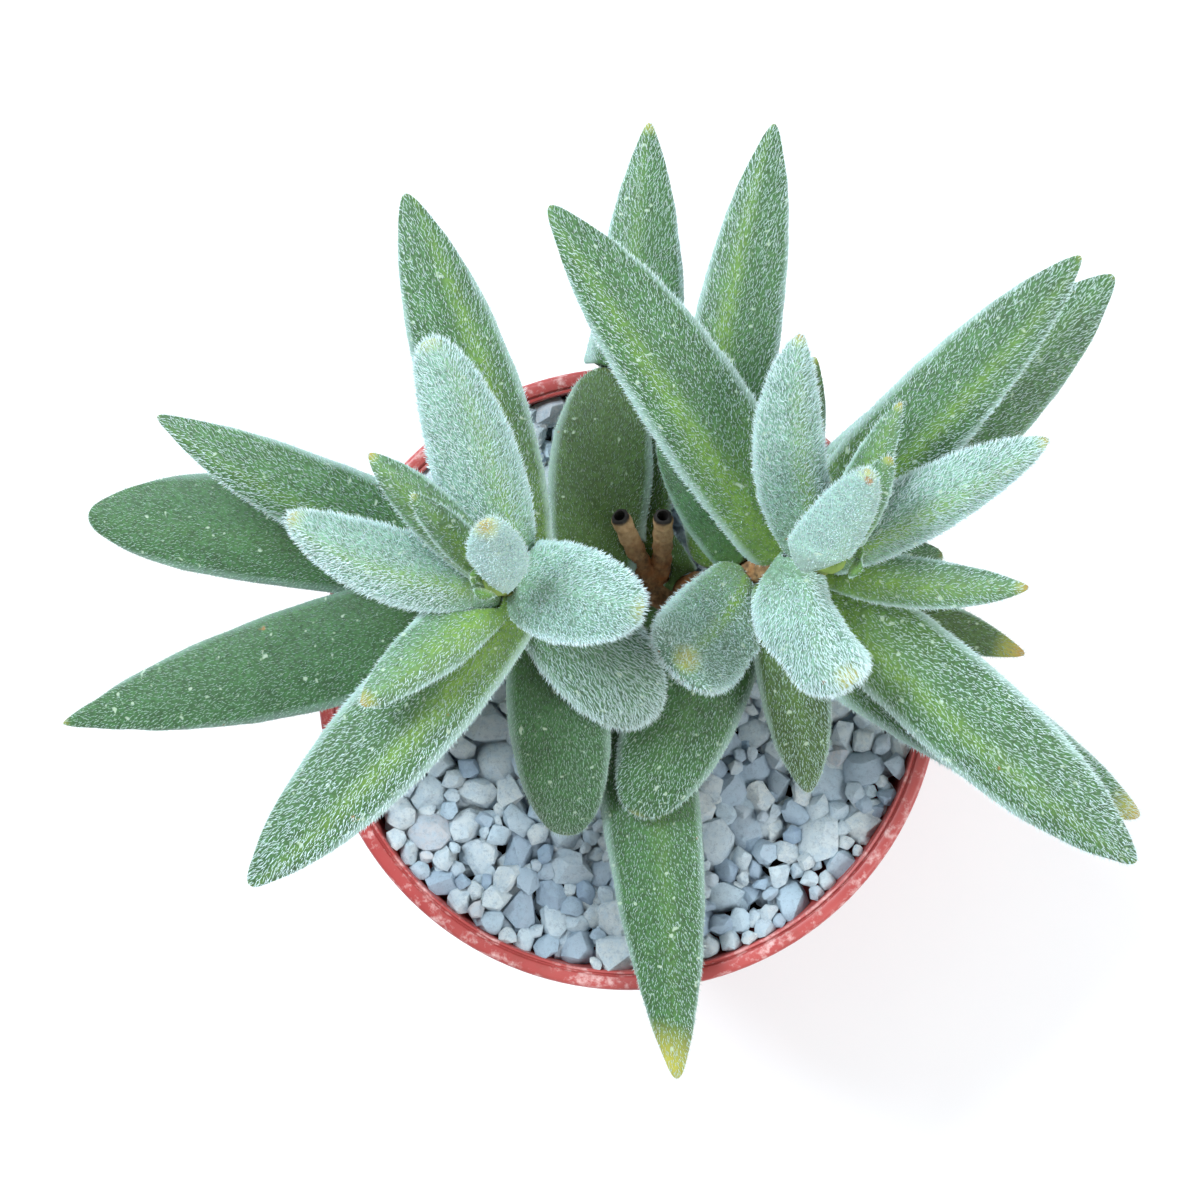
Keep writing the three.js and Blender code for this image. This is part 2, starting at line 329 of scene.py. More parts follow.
def potPlastic():
    material, tree, shader = newMaterial("redPotPlastic", 0.42)
    place = objectPlace(tree)
    body = ramp(tree, noiseAt(tree, place, 55, 3), (0.35, pot["plastic"]), (0.75, pot["plasticPale"]))
    flat = put(tree, "ShaderNodeMapping", {"Vector": place, "Scale": (1, 1, 2.6)}).outputs[0]
    wear = ramp(tree, noiseAt(tree, flat, 380, 6, 0.7), (0.51, 0.0), (0.66, 1.0))
    where = ramp(tree, noiseAt(tree, place, 38, 2), (0.42, 0.03), (0.62, 0.40))
    height = put(tree, "ShaderNodeSeparateXYZ", {"Vector": place}).outputs["Z"]
    atLip = ramp(tree, times(tree, height, 10), (0.77, 0.0), (0.797, 0.95))
    where = blend(tree, atLip, where, (1.0, 1.0, 1.0))
    rubbed = blend(tree, times(tree, wear, where), body, pot["scuff"])
    grime = ramp(tree, noiseAt(tree, place, 170, 5, 0.65), (0.58, 0.0), (0.76, 0.5))
    tree.links.new(blend(tree, grime, rubbed, pot["dust"]), shader.inputs["Base Color"])
    tree.links.new(ramp(tree, wear, (0.0, 0.36), (1.0, 0.6)), shader.inputs["Roughness"])
    addBump(tree, shader, noiseAt(tree, place, 900, 5, 0.7), 0.3, 0.15 * mm)
    return material


def arc(centre, radius, start, end, steps):
    # points of [radius, height] round a centre, from one angle to another in degrees
    angles = [math.radians(start + (end - start) * i / steps) for i in range(steps + 1)]
    return [(centre[0] + radius * math.cos(a), centre[1] + radius * math.sin(a)) for a in angles]


def potOutline():
    # half of the pot's section as [radius, height], from the middle of its underside up, over the lip and
    # down to the middle of its floor
    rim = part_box("pot")[1].x / mm
    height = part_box("pot")[1].z / mm
    base, wall, soft = pot["baseRadius"], pot["wall"], pot["soft"]
    inner = rim - pot["lipWidth"]
    band = inner + wall
    bandFoot = height - pot["bandHeight"]
    belowBand = bandFoot - pot["bandStep"]
    slope = (band - pot["bandStep"] - base) / bandFoot
    underLip = height - pot["lipDrop"]
    lipRound, underRound, innerRound = pot["lipRound"], pot["lipUnderRound"], pot["lipInnerRound"]
    groove = inner + pot["grooveIn"]
    grooveSide = pot["grooveWidth"] / 2
    grooveFloor = pot["grooveFloor"] / 2
    foot = base - pot["footEdge"]
    footRound = pot["footRound"]

    outline = [(0, pot["recess"]), (base - pot["recessEdge"], pot["recess"]), (foot - soft, 0.2), (foot, 0)]
    outline += arc((base - footRound, footRound), footRound, -90, 0, 4)
    outline += [(base + slope * z, z) for z in pot["wallRings"]]
    outline += [(base + slope * belowBand, belowBand)]
    outline += [(band - 0.5, bandFoot - soft), (band, bandFoot + soft)]
    outline += [(band + 0.05, underLip - 1.2), (band + 0.35, underLip - 0.4)]
    outline += arc((rim - underRound, underLip + underRound), underRound, -80, 0, 4)
    outline += arc((rim - lipRound, height - lipRound), lipRound, 0, 90, 6)
    outline += [(groove + grooveSide + 0.15, height), (groove + grooveSide, height - 0.12)]
    outline += [(groove + grooveFloor, height - pot["grooveDepth"])]
    outline += [(groove - grooveFloor, height - pot["grooveDepth"])]
    outline += [(groove - grooveSide, height - 0.32), (groove - grooveSide - 0.1, height - pot["innerBead"])]
    outline += arc((inner + innerRound, height - 2 * innerRound), innerRound, 80, 180, 4)
    outline += [(inner, bandFoot + pot["bandStep"]), (inner - 0.5, bandFoot + soft)]
    outline += [(base + slope * bandFoot - wall, bandFoot - 0.4)]
    innerRings = (*pot["innerRings"], pot["floor"] + pot["floorCorner"])
    outline += [(base + slope * z - wall, z) for z in innerRings]
    outline += [(base - wall - 1.0, pot["floor"]), (0, pot["floor"])]
    return outline


def drillHoles(piece):
    drills = []
    for i in range(pot["holes"]):
        angle = 2 * math.pi * i / pot["holes"]
        place = (pot["holeCircle"] * mm * math.cos(angle), pot["holeCircle"] * mm * math.sin(angle), 0)
        startClean()
        bpy.ops.mesh.primitive_cylinder_add(
            vertices=pot["holeSides"], radius=pot["holeRadius"] * mm,
            depth=pot["drillLength"] * mm, location=place)
        drills.append(bpy.context.object)
    startClean()
    for drill in drills:
        drill.select_set(True)
    bpy.context.view_layer.objects.active = drills[0]
    bpy.ops.object.join()
    cutAway(piece, drills[0])


def makePot():
    outline = potOutline()
    points = [(r * mm, 0, z * mm) for r, z in outline]
    edges = [(i, i + 1) for i in range(len(outline) - 1)]
    mesh = bpy.data.meshes.new("nurseryPot")
    mesh.from_pydata(points, edges, [])
    piece = bpy.data.objects.new("nurseryPot", mesh)
    bpy.context.scene.collection.objects.link(piece)
    pick(piece)
    bpy.ops.object.mode_set(mode="EDIT")
    bpy.ops.mesh.select_all(action="SELECT")
    bpy.ops.mesh.spin(steps=pot["turns"], angle=2 * math.pi, center=(0, 0, 0), axis=(0, 0, 1))
    bpy.ops.mesh.select_all(action="SELECT")
    bpy.ops.mesh.remove_doubles(threshold=0.01 * mm)
    bpy.ops.mesh.normals_make_consistent(inside=False)
    bpy.ops.object.mode_set(mode="OBJECT")

    drillHoles(piece)
    shadeSmooth(piece, 40)
    piece.data.materials.append(potPlastic())
    finishPiece(piece, "pot_plastic", "pot")
    print("pot turned", len(piece.data.polygons))


# The potting soil under the stones

soil = {
    "dark": paint(38, 30, 24),
    "brown": paint(74, 56, 42),
    "fineness": 1.5,
    "crumb": 0.5,
    "grain": 3.2,
}


def soilEarth():
    material, tree, shader = newMaterial("darkPottingSoil", 0.95)
    place = objectPlace(tree)
    crumbs = noiseAt(tree, place, 700, 6, 0.7)
    earth = ramp(tree, crumbs, (0.35, soil["dark"]), (0.7, soil["brown"]))
    tree.links.new(earth, shader.inputs["Base Color"])
    addBump(tree, shader, crumbs, 0.8, 0.6 * mm)
    return material


def makeSoil():
    piece = mergedCopy("soil", "pottingSoil")
    remeshEvenly(piece, soil["fineness"])
    points = readPoints(piece)
    normals = readPoints(piece, "normal")
    hollows = [noise.fractal(Vector(p) / (soil["grain"] * mm), 0.6, 2.0, 4) for p in points]
    points = points - normals * (np.clip(np.array(hollows), 0, 1) * soil["crumb"] * mm)[:, None]
    writePoints(piece, points)
    piece.data.materials.append(soilEarth())
    finishPiece(piece, "potting_soil", "soil")
    print("soil filled", len(piece.data.polygons))


# The pumice stones on top

pumice = {
    "white": paint(246, 254, 255),
    "grey": paint(214, 236, 250),
    "blue": paint(142, 174, 208),
    "pink": paint(236, 220, 214),
    "cloud": paint(198, 222, 239),
    # a darker bluish grey painted as shade inside the stones' pores
    "poreShade": paint(128, 150, 168),
    "shapes": 24,
    "swell": 0.42,
    "keep": 0.62,  # the share of a ball's corners that a stone is wrapped on
    "flatten": 9,
    "stretch": (1.12, 0.95, 0.82),
    "tilt": 1.4,
    "layers": ((330, 3.0), (430, 1.7), (540, 0.0)),  # from the lowest up: how many stones, how deep
    "uneven": 1.6,
    "heap": 1.7,
    "banked": 1.9,  # how much higher the stones lie at the wall
    "outwards": 0.42,  # under 0.5 sets more of them near the wall
    "smallest": 1.0,
    "largest": 3.3,
    "mostlySmall": 2.1,
    "trunk": (4.0, 12.0, 2.9),  # where the trunk stands, and its radius
    "wallGap": 0.1,
    "wallPress": 0.65,
    "wallBite": 0.2,
    "nestle": 0.93,
    "push": 0.35,
    "rounds": 120,
    "whiteness": (0.80, 0.34),  # the mean and the spread
    "mostBlue": 0.8,
    "pinkShare": 0.04,
    "pinkness": 0.5,
    "seed": 11,
}


def pumiceStone():
    material, tree, shader = newMaterial("paleStonePumice", 0.9)
    place = objectPlace(tree)
    tone = readVector(tree, "stoneTone")
    body = blend(tree, tone[0], pumice["grey"], pumice["white"])
    body = blend(tree, tone[1], body, pumice["blue"])
    body = blend(tree, tone[2], body, pumice["pink"])
    cloud = ramp(tree, noiseAt(tree, place, 520, 6, 0.75), (0.40, 1.0), (0.56, 0.0))
    body = blend(tree, times(tree, cloud, 0.5), body, pumice["cloud"])
    # fine dark specks: painted shade inside the pores
    poreShadeMask = ramp(tree, noiseAt(tree, place, 1100, 6, 0.85), (0.34, 1.0), (0.50, 0.0))
    tree.links.new(blend(tree, times(tree, poreShadeMask, 0.45), body, pumice["poreShade"]), shader.inputs["Base Color"])
    addBump(tree, shader, noiseAt(tree, place, 800, 8, 0.9), 0.9, 0.9 * mm)
    return material


def shapeStone(number, dice):
    # a ball pushed out of round, wrapped tight over some of its corners, with its nearly flat facets joined
    startClean()
    bpy.ops.mesh.primitive_ico_sphere_add(subdivisions=2, radius=1, location=(0, 0, 0))
    stone = bpy.context.object
    points = readPoints(stone)
    shift = Vector((number * 3.1, 0, 0))
    swell = np.array([1 + pumice["swell"] * noise.noise(Vector(p) * 1.3 + shift) for p in points])
    keep = [i for i in range(len(points)) if dice.random() < pumice["keep"]]
    points = points * swell[:, None]
    writePoints(stone, points)
    pick(stone)
    bpy.ops.object.mode_set(mode="EDIT")
    bpy.ops.mesh.select_all(action="DESELECT")
    bpy.ops.object.mode_set(mode="OBJECT")
    for vertex in stone.data.vertices:
        vertex.select = vertex.index not in keep
    bpy.ops.object.mode_set(mode="EDIT")
    bpy.ops.mesh.delete(type="VERT")
    bpy.ops.mesh.select_all(action="SELECT")
    bpy.ops.mesh.convex_hull()
    bpy.ops.mesh.select_all(action="SELECT")
    bpy.ops.mesh.dissolve_limited(angle_limit=math.radians(pumice["flatten"]))
    bpy.ops.mesh.select_all(action="SELECT")
    bpy.ops.mesh.normals_make_consistent(inside=False)
    bpy.ops.object.mode_set(mode="OBJECT")
    points = readPoints(stone)
    points = points / np.abs(points).max(axis=0)
    faces = [list(polygon.vertices) for polygon in stone.data.polygons]
    bpy.data.objects.remove(stone)
    return points, faces


def settle(places, radii, limit, trunk):
    # stones push one another apart on the bed, inside the wall and clear of the trunk
    for _ in range(pumice["rounds"]):
        away = places[:, None] - places[None]
        distance = np.hypot(away[..., 0], away[..., 1]) + 1e-9
        overlap = (radii[:, None] + radii[None]) * pumice["nestle"] - distance
        np.fill_diagonal(overlap, 0)
        push = np.clip(overlap, 0, None)[..., None] * away / distance[..., None]
        places = places + push.sum(axis=1) * pumice["push"]
        fromTrunk = places - trunk[:2]
        gap = np.hypot(fromTrunk[:, 0], fromTrunk[:, 1]) + 1e-9
        short = np.clip(trunk[2] + radii - gap, 0, None)
        places = places + fromTrunk / gap[:, None] * short[:, None]
        out = np.hypot(places[:, 0], places[:, 1]) + 1e-9
        room = limit - radii * pumice["wallPress"]
        places = places * np.minimum(1, room / out)[:, None]
    return places


def pressIn(points, inner):
    # a stone that would reach through the wall is flattened against it
    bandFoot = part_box("pot")[1].z - (pot["bandHeight"] - pot["bandStep"]) * mm
    taper = (inner - (pot["baseRadius"] - pot["wall"]) * mm) / bandFoot
    narrower = pot["bandStep"] * mm + (bandFoot - points[:, 2]) * taper
    limit = inner + pumice["wallBite"] * mm - np.where(points[:, 2] < bandFoot, narrower, 0)
    out = np.hypot(points[:, 0], points[:, 1]) + 1e-9
    points[:, :2] *= np.minimum(1, limit / out)[:, None]
    return points


def strewLayer(count, inner, dice):
    # the places and sizes of one layer's stones
    growth = pumice["largest"] - pumice["smallest"]
    radii = [pumice["smallest"] + growth * dice.random() ** pumice["mostlySmall"] for _ in range(count)]
    radii = np.array(radii) * mm
    angles = np.array([dice.random() * 2 * math.pi for _ in range(count)])
    outs = np.array([dice.random() for _ in range(count)]) ** pumice["outwards"] * (inner - 2 * mm)
    places = np.stack([np.cos(angles), np.sin(angles)], axis=1) * outs[:, None]
    return settle(places, radii, inner, np.array(pumice["trunk"]) * mm), radii


def turnStone(shape, radius, dice):
    stretch = np.array(pumice["stretch"]) * [0.85 + 0.35 * dice.random() for _ in range(3)]
    turn = Matrix.Rotation(dice.random() * 2 * math.pi, 3, "Z")
    tilt = Matrix.Rotation((dice.random() - 0.5) * pumice["tilt"], 3, "X")
    return (shape * stretch * radius) @ np.array(turn @ tilt).T


def makePumice():
    dice = random.Random(pumice["seed"])
    shapes = [shapeStone(i, dice) for i in range(pumice["shapes"])]
    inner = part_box("pot")[1].x - (pot["lipWidth"] + pumice["wallGap"]) * mm
    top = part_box("gravel")[1].z
    allPoints, allFaces, tones = [], [], []
    used = 0
    for count, depth in pumice["layers"]:
        places, radii = strewLayer(count, inner, dice)
        for place, radius in zip(places, radii):
            shape, faces = shapes[dice.randrange(len(shapes))]
            body = turnStone(shape, radius, dice)
            bank = pumice["banked"] * (np.hypot(*place) / inner) ** 4
            sink = (depth + pumice["uneven"] * dice.random() - pumice["heap"] - bank) * mm
            centre = np.array([place[0], place[1], top - sink - body[:, 2].max()])
            allPoints.append(pressIn(body + centre, inner))
            allFaces += [[i + used for i in face] for face in faces]
            used += len(body)
            white = min(1, max(0, dice.gauss(*pumice["whiteness"])))
            blue = pumice["mostBlue"] * dice.random() ** 3
            pink = pumice["pinkness"] if dice.random() < pumice["pinkShare"] else 0.0
            tones += [(white, blue, pink)] * len(body)
    piece = newPiece("pumiceStones", np.concatenate(allPoints), allFaces)
    addAttribute(piece, "stoneTone", np.array(tones))
    piece.data.materials.append(pumiceStone())
    shadeSmooth(piece, 38)
    finishPiece(piece, "pumice", "gravel")
    print("pumice laid", len(piece.data.polygons))


# The woody stem with its two cut stubs

stem = {
    "bark": paint(164, 124, 84),
    "barkDark": paint(88, 62, 40),
    "orange": paint(176, 104, 44),
    "tan": paint(200, 166, 124),
    # the charred cut ends' colour, also painted as shade inside the bored hollows
    "hollow": paint(26, 20, 16),
    "growing": paint(128, 158, 74),
    "fineness": 0.34,
    "smoothings": 5,
    "grainSize": 1.6,
    "grainHeight": 0.1,
    "bulk": 0.12,
    "scarGap": 3.1,
    "scarHeight": 0.16,
    # how long a branch's growing end is, how far its tip drops, and how much of its thickness it loses
    "apex": 6,
    "apexDrop": 1.0,
    "apexNarrow": 0.80,
    # each stub: the middle of its cut end, and the way it leans
    "stubs": (((-1.5, 23, 95), (-3.5, 7, 11)), ((4.5, 23, 95), (-0.5, 6, 11))),
    "stubLength": 8,
    "stubReach": 2.4,
    "charLength": 0.45,
    "hollowRadius": 0.98,
    "hollowTaper": (0.5, 1.15),
    "hollowDepth": 2.6,
}


def stemBark():
    material, tree, shader = newMaterial("driedStemBark", 0.75)
    place = objectPlace(tree)
    streaks = put(tree, "ShaderNodeMapping", {"Vector": place, "Scale": (1, 1, 0.22)}).outputs[0]
    grain = noiseAt(tree, streaks, 1300, 5, 0.6)
    body = ramp(tree, grain, (0.3, stem["barkDark"]), (0.55, stem["bark"]), (0.8, stem["tan"]))
    warm = ramp(tree, noiseAt(tree, place, 160, 3), (0.45, 0.0), (0.65, 0.75))
    body = blend(tree, warm, body, stem["orange"])
    charAndBoreShade, growing, stub = readVector(tree, "stemMarks")
    stubTan = ramp(tree, grain, (0.3, stem["bark"]), (0.6, stem["tan"]))
    body = blend(tree, stub, body, stubTan)
    body = blend(tree, growing, body, stem["growing"])
    # the cut ends are charred, and the insides of the bores are painted near black as shade
    tree.links.new(blend(tree, charAndBoreShade, body, stem["hollow"]), shader.inputs["Base Color"])
    addBump(tree, shader, grain, 0.7, 0.25 * mm)
    return material


def roughenStem(piece):
    points = readPoints(piece)
    normals = readPoints(piece, "normal")
    rough = np.array([noise.fractal(Vector(p) / (stem["grainSize"] * mm), 0.7, 2.0, 3) for p in points])
    scars = np.clip(np.sin(points[:, 2] / (stem["scarGap"] * mm) * 2 * math.pi), 0, 1) ** 5
    swell = stem["grainHeight"] * rough + stem["scarHeight"] * scars + stem["bulk"]
    writePoints(piece, points + normals * (swell * mm)[:, None])


def boreStub(piece, top, lean):
    startClean()
    bpy.ops.mesh.primitive_cone_add(
        vertices=20, radius1=stem["hollowRadius"] * stem["hollowTaper"][0] * mm,
        radius2=stem["hollowRadius"] * stem["hollowTaper"][1] * mm, depth=2 * stem["hollowDepth"] * mm,
        location=top, rotation=lean.to_track_quat("Z", "Y").to_euler())
    cutAway(piece, bpy.context.object)


def markStubs(points, stubs):
    # how charred each point is, with the inside of each bore painted near black as shade, and how dry and
    # tan
    charAndBoreShade, dry = np.zeros(len(points)), np.zeros(len(points))
    for top, lean in stubs:
        away = points - np.array(top)
        deep = -(away @ np.array(lean)) / mm
        radius = np.linalg.norm(away + (deep * mm)[:, None] * np.array(lean), axis=1) / mm
        nearby = radius < stem["stubReach"]
        boreShade = (radius < stem["hollowRadius"] + 0.1) & (deep < stem["hollowDepth"] + 0.3)
        burnt = np.clip(1.6 - deep / stem["charLength"], 0, 1) * nearby
        charAndBoreShade = np.maximum(charAndBoreShade, np.maximum(boreShade, burnt))
        dry = np.maximum(dry, np.clip(1.5 - deep / stem["stubLength"], 0, 1) * nearby)
    return charAndBoreShade, dry


def narrowApexes(points):
    # each branch narrows to a small green growing point between its youngest leaves
    green = np.zeros(len(points))
    apex = stem["apex"] * mm
    for side in (points[:, 0] < 0, points[:, 0] > 0):
        tip = points[side][np.argmax(points[side][:, 2])]
        share = np.clip((points[:, 2] - tip[2]) / apex + 1, 0, 1) * side
        points[:, :2] += (tip[:2] - points[:, :2]) * (stem["apexNarrow"] * np.sqrt(share))[:, None]
        points[:, 2] -= share ** 2 * stem["apexDrop"] * mm
        green = np.maximum(green, np.clip((points[:, 2] - tip[2]) / (3 * apex) + 1.2, 0, 1) * side)
    return green


def makeStem():
    piece = mergedCopy("stem", "woodyStem")
    remeshEvenly(piece, stem["fineness"], stem["smoothings"])
    roughenStem(piece)
    stubs = [(Vector(top) * mm, Vector(lean).normalized()) for top, lean in stem["stubs"]]
    for top, lean in stubs:
        boreStub(piece, top, lean)
    points = readPoints(piece)
    charAndBoreShade, dry = markStubs(points, stubs)
    green = narrowApexes(points)
    writePoints(piece, points)
    addAttribute(piece, "stemMarks", np.stack([charAndBoreShade, green, dry], axis=1))
    piece.data.materials.append(stemBark())
    shadeSmooth(piece, 50)
    finishPiece(piece, "stem_bark", "stem")
    print("stem grown", len(piece.data.polygons))


# The hairy leaves

leafPaint = {
    "green": paint(58, 102, 44),
    "pale": paint(128, 166, 146),
    # the dark and olive greens are partly the older leaves' own colour and partly painted shade on the low
    # leaves
    "dark": paint(52, 96, 52),
    "olive": paint(72, 96, 40),
    "fresh": paint(116, 154, 54),
    # a pale colour at the edges: painted sheen of the hairs where the leaf turns away
    "paintedEdgeSheen": paint(186, 214, 208),
    "yellow": paint(186, 180, 70),
    "brown": paint(160, 108, 56),
    "speck": paint(196, 214, 188),
    "hairRoot": paint(138, 176, 164),
    "hairTip": paint(236, 249, 254),
    "hairDull": paint(120, 156, 120),
}

# mix is how pale, how dark and how olive the green is, the darker mixes being partly the leaves' own older
# colour and partly painted shade on the low leaves; crown is how far the upper side swells, in mm; keelWidth
# is a share of half the leaf's width;
# a few leaves give how far the painted pale sheen of the edge spreads inwards; fullness scales the leaf's
# section; closing is the share of its length over which its foot closes; the rest is the hairs', with their
# spacing, length and width in mm
leafKinds = {
    "silver": {"mix": (0.85, 0.0, 0.0), "crown": 1.0, "keelWidth": 0.30,
               "spacing": 0.31, "length": 0.90, "width": 0.15, "lift": 0.30, "frost": 1.0},
    "young": {"mix": (0.30, 0.0, 0.0), "crown": 0.6, "keelWidth": 0.60,
              "spacing": 0.40, "length": 0.70, "width": 0.13, "lift": 0.34, "frost": 0.9},
    "frosted": {"mix": (1.0, 0.0, 0.0), "crown": 1.0, "keelWidth": 0.30, "sheenSpread": 0.94, "closing": 0.40,
                "spacing": 0.30, "length": 0.75, "width": 0.15, "lift": 0.25, "frost": 1.0},
    "paler": {"mix": (1.0, 0.0, 0.0), "crown": 1.0, "keelWidth": 0.30, "sheenSpread": 0.88, "closing": 0.20,
              "spacing": 0.31, "length": 0.80, "width": 0.15, "lift": 0.26, "frost": 1.0},
    "green": {"mix": (0.06, 0.1, 0.0), "crown": 0.35, "keelWidth": 0.20,
              "spacing": 0.39, "length": 0.80, "width": 0.125, "lift": 0.34, "frost": 0.95},
    "older": {"mix": (0.0, 0.45, 0.0), "crown": 0.1, "keelWidth": 0.20,
              "spacing": 0.42, "length": 0.62, "width": 0.12, "lift": 0.36, "frost": 0.62},
    "dark": {"mix": (0.0, 0.75, 0.0), "crown": 0.0, "keelWidth": 0.20,
             "spacing": 0.41, "length": 0.55, "width": 0.11, "lift": 0.36, "frost": 0.42},
    "fringed": {"mix": (0.25, 0.4, 0.0), "crown": 0.5, "keelWidth": 0.20,
                "spacing": 0.38, "length": 0.90, "width": 0.13, "lift": 0.40, "frost": 0.95},
    "olive": {"mix": (0.0, 0.40, 0.7), "crown": 0.0, "keelWidth": 0.20,
              "spacing": 0.42, "length": 0.62, "width": 0.12, "lift": 0.36, "frost": 0.50},
    "cupped": {"mix": (0.55, 0.15, 0.25), "crown": 0.5, "keelWidth": 0.12,
               "spacing": 0.36, "length": 1.0, "width": 0.14, "lift": 0.30, "frost": 1.0},
    "bud": {"mix": (0.0, 0.0, 0.0), "crown": 0.3, "keelWidth": 0.90, "fullness": 1.55, "closing": 0.7,
            "spacing": 0.42, "length": 0.42, "width": 0.10, "lift": 0.40, "frost": 0.8},
}

# each leaf: its kind, how bright its keel line is and how far off the middle it lies, as a share of half the
# width, its tip mark, how brown that is, and how far the mark reaches in mm
leafLooks = {
    "left": [
        ("frosted", 0.3, 0.0, 0.95, 0.5, 1.7),
        ("young", 0.9, 0.0, 0.5, 0.3, 1.0),
        ("young", 1.0, 0.1, 0.9, 0.7, 1.4),
        ("silver", 0.7, -0.35, 0.6, 0.4, 2.0),
        ("silver", 0.1, 0.0, 0.7, 0.1, 1.8),
        ("silver", 0.8, 0.25, 0.7, 0.6, 2.2),
        ("young", 0.9, 0.25, 0.9, 0.6, 2.2),
        ("green", 1.0, -0.35, 0.3, 0.2, 1.2),
        ("green", 1.0, 0.35, 0.3, 0.2, 1.2),
        ("fringed", 0.0, 0.0, 0.5, 0.6, 1.5),
        ("green", 0.5, 0.35, 0.3, 0.2, 1.2),
        ("dark", 0.0, 0.0, 0.3, 0.5, 1.2),
        ("dark", 0.0, 0.0, 0.9, 0.9, 2.0),
        ("dark", 0.1, 0.2, 0.2, 0.3, 1.2),
        ("olive", 0.1, 0.0, 0.3, 0.5, 1.2),
        ("older", 0.3, 0.1, 1.0, 0.0, 6.0),
        ("green", 0.5, 0.2, 1.0, 0.5, 2.6),
    ],
    "right": [
        ("paler", 0.3, -0.5, 0.7, 0.2, 1.4),
        ("young", 0.9, 0.0, 0.8, 0.7, 1.2),
        ("young", 1.0, 0.0, 0.9, 0.7, 1.4),
        ("silver", 0.7, -0.3, 0.9, 0.8, 1.8),
        ("silver", 0.15, 0.2, 0.85, 0.0, 1.7),
        ("silver", 0.9, -0.35, 0.9, 0.6, 2.0),
        ("young", 0.9, -0.15, 0.9, 0.9, 2.0),
        ("green", 0.8, 0.35, 0.4, 0.2, 1.2),
        ("green", 0.7, -0.3, 0.3, 0.4, 1.2),
        ("green", 0.8, -0.3, 0.8, 0.5, 1.4),
        ("olive", 0.2, 0.0, 0.3, 0.5, 1.2),
        ("olive", 0.1, 0.0, 1.0, 0.7, 4.0),
        ("olive", 0.2, 0.0, 0.6, 0.4, 1.4),
        ("green", 0.4, 0.0, 0.6, 0.5, 1.4),
        ("green", 0.3, 0.0, 1.0, 0.5, 5.0),
        ("dark", 0.0, 0.0, 0.3, 0.5, 1.2),
        ("cupped", 1.0, 0.0, 0.9, 0.35, 2.0),
        ("dark", 0.0, 0.0, 0.3, 0.5, 1.2),
        ("older", 0.1, 0.0, 0.6, 0.7, 1.5),
        ("green", 1.0, 0.3, 0.5, 0.3, 1.4),
        ("olive", 0.1, 0.0, 0.4, 0.4, 1.2),
    ],
}
budLook = ("bud", 1.0, 0.0, 0.2, 0.2, 0.5)

# how far a youngest leaf's foot reaches back over the growing point, in mm
leafReach = {
    "left_leaf_01": (1.4, -3.8, 1.6),
    "right_leaf_01": (-5.0, -4.1, 2.0),
}

# where a leaf's mark lies beside its farthest point, in mm
markShift = {
    "left_leaf_01": (-0.9, -0.9, 0.0),
    "right_leaf_05": (2.8, 2.5, 0.0),
    "right_leaf_17": (1.3, 2.2, 0.0),
}

# where a leaf is nudged out of its plain outline: the place, the push and how far round it is felt, in mm
leafNudges = {
    "right_leaf_05": [
        ((29.4, 3.2), (2.2, 0.0, 0.0), 3.6),
        ((30.0, 12.0), (-3.4, 0.0, 0.0), 5.5),
        ((16.5, 2.0), (1.4, 0.8, 0.0), 4.0),
    ],
    "left_leaf_16": [((4.0, -45.0), (2.4, 0.0, 0.0), 40), ((3.9, -54.8), (0.6, -2.9, 0.0), 12)],
    "right_leaf_20": [((17.0, 66.0), (2.0, 0.6, 0.0), 25)],
    "left_bud_01": [((-20.3, 14.7), (1.1, -0.7, 0.7), 20)],
    "left_bud_02": [((-18.9, 11.7), (0.5, 1.1, 1.1), 20)],
    "right_bud_01": [((28.9, 17.7), (-1.5, -0.6, 0.8), 20)],
    "right_bud_02": [((28.5, 15.4), (-1.3, 0.2, 1.2), 20)],
}

# leaves that are fuller than their plain outline
leafFuller = {
    "left_leaf_17": 1.22,
    "right_leaf_14": 1.22,
}

leafShape = {
    "fullness": 1.10,  # makes up for what the subdivision draws in
    "samples": 2600,
    "stations": 25,
    "stationReach": 0.035,
    "fineFrom": 40,  # a leaf of more points than this is divided once more
    "footFade": 0.15,
    "tipFade": 0.12,
    "crownRidge": 0.4,
    "crownRidgeWidth": 0.25,
    "keelHeight": 0.22,
    "keelWidth": 0.14,
    "lumps": 0.14,
    "lumpSize": 3.4,
    "fullSize": 5,  # a leaf with a smaller half width takes smaller lumps and ridges
    "tipFrom": 0.78,
    "tipPull": 1.3,
    "tipPinch": 0.35,
}

hairShape = {
    "tries": 5,  # how many places are tried for each hair kept
    "spread": 0.26,
    "lean": 0.8,
    "rootDepth": 0.1,
    "fringeLength": 0.75,
    "fringeFrom": 0.5,
    "outwards": 0.12,
    "fringeOutwards": 0.35,
}


